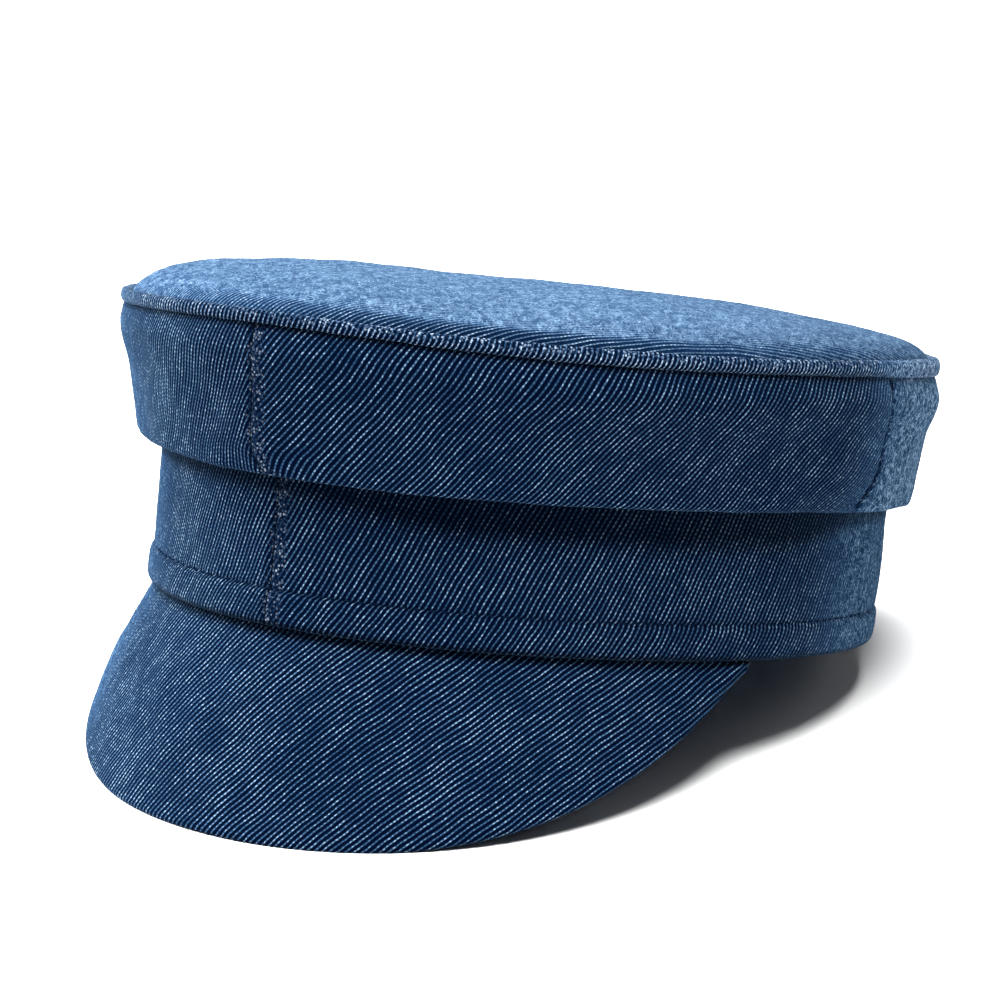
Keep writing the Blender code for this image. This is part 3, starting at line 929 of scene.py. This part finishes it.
def laid_flat(roots, tips):
    """A ruled strip's two edges, unrolled onto a table triangle by triangle from its middle."""

    def meet(first, second, from_first, from_second, side):
        apart = second - first
        span = np.linalg.norm(apart)
        ahead = (from_first**2 - from_second**2 + span**2) / (2 * span)
        off = math.sqrt(max(0.0, from_first**2 - ahead**2))
        along = apart / span
        return first + along * ahead + side * off * np.array([-along[1], along[0]])

    count = len(roots)
    middle = count // 2
    flat_roots, flat_tips = np.zeros((count, 2)), np.zeros((count, 2))
    flat_tips[middle] = (0, -np.linalg.norm(tips[middle] - roots[middle]))
    for side, order in ((1, range(middle, count - 1)), (-1, range(middle, 0, -1))):
        for i in order:
            j = i + side
            pairs = ((roots[j], roots[i]), (roots[j], tips[i]), (tips[j], roots[j]), (tips[j], tips[i]))
            steps = [np.linalg.norm(a - b) for a, b in pairs]
            flat_roots[j] = meet(flat_roots[i], flat_tips[i], steps[0], steps[1], side)
            flat_tips[j] = meet(flat_roots[j], flat_tips[i], steps[2], steps[3], side)
    return flat_roots, flat_tips


def peak_section():
    """The upper face from the root down, its edge, and the underside back to the lip behind the band."""
    half = PEAK_WALL / 2
    edge = arc((PEAK_REACH, -half), half, math.pi / 2, -math.pi / 2, 12)
    outer = np.concatenate([resampled([(0, 0), (PEAK_REACH, 0)], 0.8 * MM), edge[1:]])
    under = resampled([(PEAK_REACH, -PEAK_WALL), (0, -PEAK_WALL)], 2.4 * MM)[1:]
    lip = [(-TURN_UP, -PEAK_WALL), (-TURN_UP, -TURN_UP_IN), (0, -TURN_UP_IN)]
    return outer, np.concatenate([under, lip])


def on_pattern(wall, angle):
    """Where the cloth lies on a flat pattern of the peak, with its underside mirrored at the edge."""
    turns = np.linspace(-PEAK_HALF_ANGLE, PEAK_HALF_ANGLE, PEAK_TURNS)
    roots = on_peak(turns, 0 * turns, 0 * turns)
    toward = unit(on_peak(turns, PEAK_REACH + 0 * turns, 0 * turns) - roots)
    flat_roots, flat_tips = laid_flat(roots, roots + toward * PEAK_REACH)
    down = (flat_tips - flat_roots) / PEAK_REACH
    half_edge = math.pi * PEAK_WALL / 4
    past_edge = np.maximum(0, half_edge - np.abs(wall.run - PEAK_REACH - half_edge))
    far = peak_reach(angle) * np.clip(wall.out / PEAK_REACH, 0, 1) + past_edge
    root, way = ([np.interp(angle, turns, line[:, i]) for i in range(2)] for line in (flat_roots, down))
    return root[0] + way[0] * far, root[1] + way[1] * far


def peak_piece():
    steps = round(BAND_TAPE.length(PEAK_HALF_ANGLE) * 2 / MESH_SIZE)
    wall = Wall("peak_cloth", *peak_section(), steps)
    angle = (wall.turn - 0.5) * 2 * PEAK_HALF_ANGLE
    length = BAND_TAPE.length(angle)
    free = smooth(wall.out, 2 * MM, 12 * MM) * (1 - smooth(wall.out, 40 * MM, 46 * MM))
    slack = 0.5 * drift(length, wall.run) * free
    lift = 0.25 * MM * bell(wall.out, 1.2 * MM) * (wall.height > -TURN_UP_IN / 2)
    points = on_peak(angle, wall.out - lift, wall.height + slack)
    x, y = on_pattern(wall, angle)
    weave = twill(x + drift(x, y, 0.4), y, PEAK_RIBS, PEAK_RIB_SPACING)
    # Nap, with sheen painted as paler colour, at the peak's right end
    nap_and_sheen = 0.9 * smooth(-angle, 32 * DEGREE, 58 * DEGREE)
    # Painted shade on the peak's root, under the hem
    painted_shade = 0.85 * (1 - smooth(wall.out, 0.4 * MM, 2.6 * MM))
    add_piece("peak_cloth", wall, points, weave, (PEAK_FACE,), "peak", 0, nap_and_sheen, painted_shade)


# Stitches

STITCH_HALF_SIZES = (1.05 * MM, 0.26 * MM, 0.22 * MM)
HEM_STITCHES_EACH_WAY = 88
HEM_STITCH_SINK = 0.22 * MM
SEAM_STITCH_ASIDE = 0.5 * MM
STITCH_AHEAD = 0.5 * MM


def tiled(name, shape, frames, material):
    """Many copies of a small shape as one piece, each with its own 3 by 4 frame."""
    mesh = bpy.data.meshes.new(name)
    shape.to_mesh(mesh)
    verts = numbers(mesh.vertices, "co", 3)
    faces = [tuple(face.vertices) for face in mesh.polygons]
    mesh.clear_geometry()
    places = np.einsum("nij,vj->nvi", frames[:, :, :3], verts) + frames[:, None, :, 3]
    copies = [tuple(v + k * len(verts) for v in face) for k in range(len(frames)) for face in faces]
    mesh.from_pydata(places.reshape(-1, 3), [], copies)
    mesh.shade_smooth()
    mesh.materials.append(material)
    shape.free()
    piece = bpy.data.objects.new(name, mesh)
    bpy.context.scene.collection.objects.link(piece)
    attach(piece, "root")
    return piece


def frames_of(points, along, off, sizes):
    """A frame at each point, with x along, z off the cloth, and each axis of its own size."""
    x = unit(along)
    z = unit(off - (off * x).sum(-1, keepdims=True) * x)
    axes = np.stack([x, np.cross(z, x), z], -1) * np.asarray(sizes)
    return np.concatenate([axes, points[:, :, None]], -1)


def add_stitches(name, here, ahead):
    """Short stitches of thread, from the angles, distances out and heights of two points on each."""
    form = bmesh.new()
    lengthwise = Matrix.Rotation(math.pi / 2, 4, "Y")
    bmesh.ops.create_uvsphere(form, u_segments=6, v_segments=6, radius=1, matrix=lengthwise)
    angles, outs, heights = here
    start = at_rest(on_head(angles, outs, heights))
    along = at_rest(on_head(*ahead)) - start
    off = at_rest(on_head(angles, outs + MM, heights)) - start
    tiled(name, form, frames_of(start, along, off, STITCH_HALF_SIZES), THREAD)


def hem_stitches():
    """The row round the band that holds its turned-up hem."""
    marks = np.arange(-HEM_STITCHES_EACH_WAY, HEM_STITCHES_EACH_WAY + 1) * STITCH_PITCH
    angles = BAND_TAPE.angle(marks)
    outs, heights = 0 * angles - HEM_STITCH_SINK, 0 * angles + HEM_HEIGHT
    add_stitches("hem_stitches", (angles, outs, heights), (angles + 0.01, outs, heights))


def seam_stitches():
    """A row up each side seam of the crown, just in front of it."""
    profile = np.array(SIDE_PROFILE)

    def on_side(base, rises):
        heights = BAND_HEIGHT + rises
        outs = FOLD_OUT + OVERHANG * np.interp(rises / SIDE_HEIGHT, profile[:, 0], profile[:, 1])
        return np.stack([base + seam_bend(base, heights), outs, heights])

    rises = np.arange(2 * MM, SIDE_HEIGHT - MM, STITCH_PITCH)
    bases = [side * (SIDE_SEAM - SEAM_STITCH_ASIDE / HALF_WIDTH) + 0 * rises for side in (-1, 1)]
    here = np.concatenate([on_side(base, rises) for base in bases], axis=1)
    ahead = np.concatenate([on_side(base, rises + STITCH_AHEAD) for base in bases], axis=1)
    add_stitches("seam_stitches", here, ahead)


# The cap


def make_cap():
    back = math.pi
    band_piece("band_cloth_left", 0, back, 64 * DEGREE, 1.22 * MM, "band_left")
    band_piece("band_cloth_right", -back, 0, 70 * DEGREE, 1.05 * MM, "band_right")
    side_piece("side_cloth_front_left", 0, SIDE_SEAM, 52 * DEGREE, 1.15 * MM, "side_front_left")
    side_piece("side_cloth_back_left", SIDE_SEAM, back, 60 * DEGREE, 1.15 * MM, "side_back_left")
    side_piece("side_cloth_back_right", -back, -SIDE_SEAM, 52 * DEGREE, 1.15 * MM, "side_back_right")
    side_piece("side_cloth_front_right", -SIDE_SEAM, 0, 66 * DEGREE, 1.0 * MM, "side_front_right")
    ridge_piece()
    top_piece()
    peak_piece()
    hem_stitches()
    seam_stitches()


# The floor, the light and the camera

FLOOR_HALF_SIZE = 8
FLOOR_COLOUR = (0.9, 0.9, 0.9, 1)
FLOOR_ROUGHNESS = 0.9

# Of the camera, as fitted to the photo: angles, metres, and its lens over the width of its sensor
CAMERA_TURN = 32.371 * DEGREE
CAMERA_RISE = 15.91 * DEGREE
CAMERA_DISTANCE = 0.832176
CAMERA_AIM = (-0.004493, 0.007517, 0.045659)
LENS_OVER_SENSOR = 3.335023
SENSOR_WIDTH = 36  # in mm, as Blender counts it
NEAR_LIMIT = 0.05

LIGHT_AIM = Vector((0, 0, 0.08))
LIGHTS = (
    # name, metres to the right, towards the camera and up from the aim, size, power
    ("high_light", 0.0, 0.45, 1.8, 1.2, 110),
    ("left_light", -1.5, -0.8, 0.7, 0.9, 135),
    ("right_light", 1.5, -0.9, 0.7, 0.9, 3.5),
)
STUDIO_GLOW = 0.06


def make_floor():
    form = bmesh.new()
    bmesh.ops.create_grid(form, x_segments=1, y_segments=1, size=FLOOR_HALF_SIZE)
    mesh = bpy.data.meshes.new("floor")
    form.to_mesh(mesh)
    form.free()
    r = Recipe("white_floor", FLOOR_ROUGHNESS)
    r.finish({"Base Color": FLOOR_COLOUR})
    mesh.materials.append(r.material)
    floor = bpy.data.objects.new("floor", mesh)
    bpy.context.scene.collection.objects.link(floor)


def make_camera():
    """The camera in the photo's place. Gives its right and the way back to it."""
    turn, rise = CAMERA_TURN, CAMERA_RISE
    right = Vector((math.cos(turn), math.sin(turn), 0))
    back = Vector((math.sin(turn) * math.cos(rise), -math.cos(turn) * math.cos(rise), math.sin(rise)))
    data = bpy.data.cameras.new("camera")
    data.sensor_width = SENSOR_WIDTH
    data.lens = data.sensor_width * LENS_OVER_SENSOR
    data.clip_start = NEAR_LIMIT
    camera = bpy.data.objects.new("camera", data)
    bpy.context.scene.collection.objects.link(camera)
    axes = Matrix((right, back.cross(right), back)).transposed().to_4x4()
    camera.matrix_world = Matrix.Translation(Vector(CAMERA_AIM) + back * CAMERA_DISTANCE) @ axes
    bpy.context.scene.camera = camera
    return right, back


def add_light(name, place, size, power):
    lamp = bpy.data.lights.new(name, "AREA")
    lamp.shape = "DISK"
    lamp.size = size
    lamp.energy = power
    light = bpy.data.objects.new(name, lamp)
    bpy.context.scene.collection.objects.link(light)
    light.rotation_mode = "QUATERNION"
    light.rotation_quaternion = (place - LIGHT_AIM).normalized().to_track_quat("Z", "Y")
    light.location = place


def make_light(right, back):
    world = bpy.data.worlds.new("studio")
    world.use_nodes = True
    background = world.node_tree.nodes["Background"]
    background.inputs["Color"].default_value = (1, 1, 1, 1)
    background.inputs["Strength"].default_value = STUDIO_GLOW
    bpy.context.scene.world = world
    toward = Vector((back.x, back.y, 0)).normalized()
    up = Vector((0, 0, 1))
    for name, aside, near, high, size, power in LIGHTS:
        add_light(name, LIGHT_AIM + right * aside + toward * near + up * high, size, power)


make_cap()
make_floor()
make_light(*make_camera())
bpy.context.scene.view_settings.view_transform = "Standard"

bpy.context.view_layer.update()
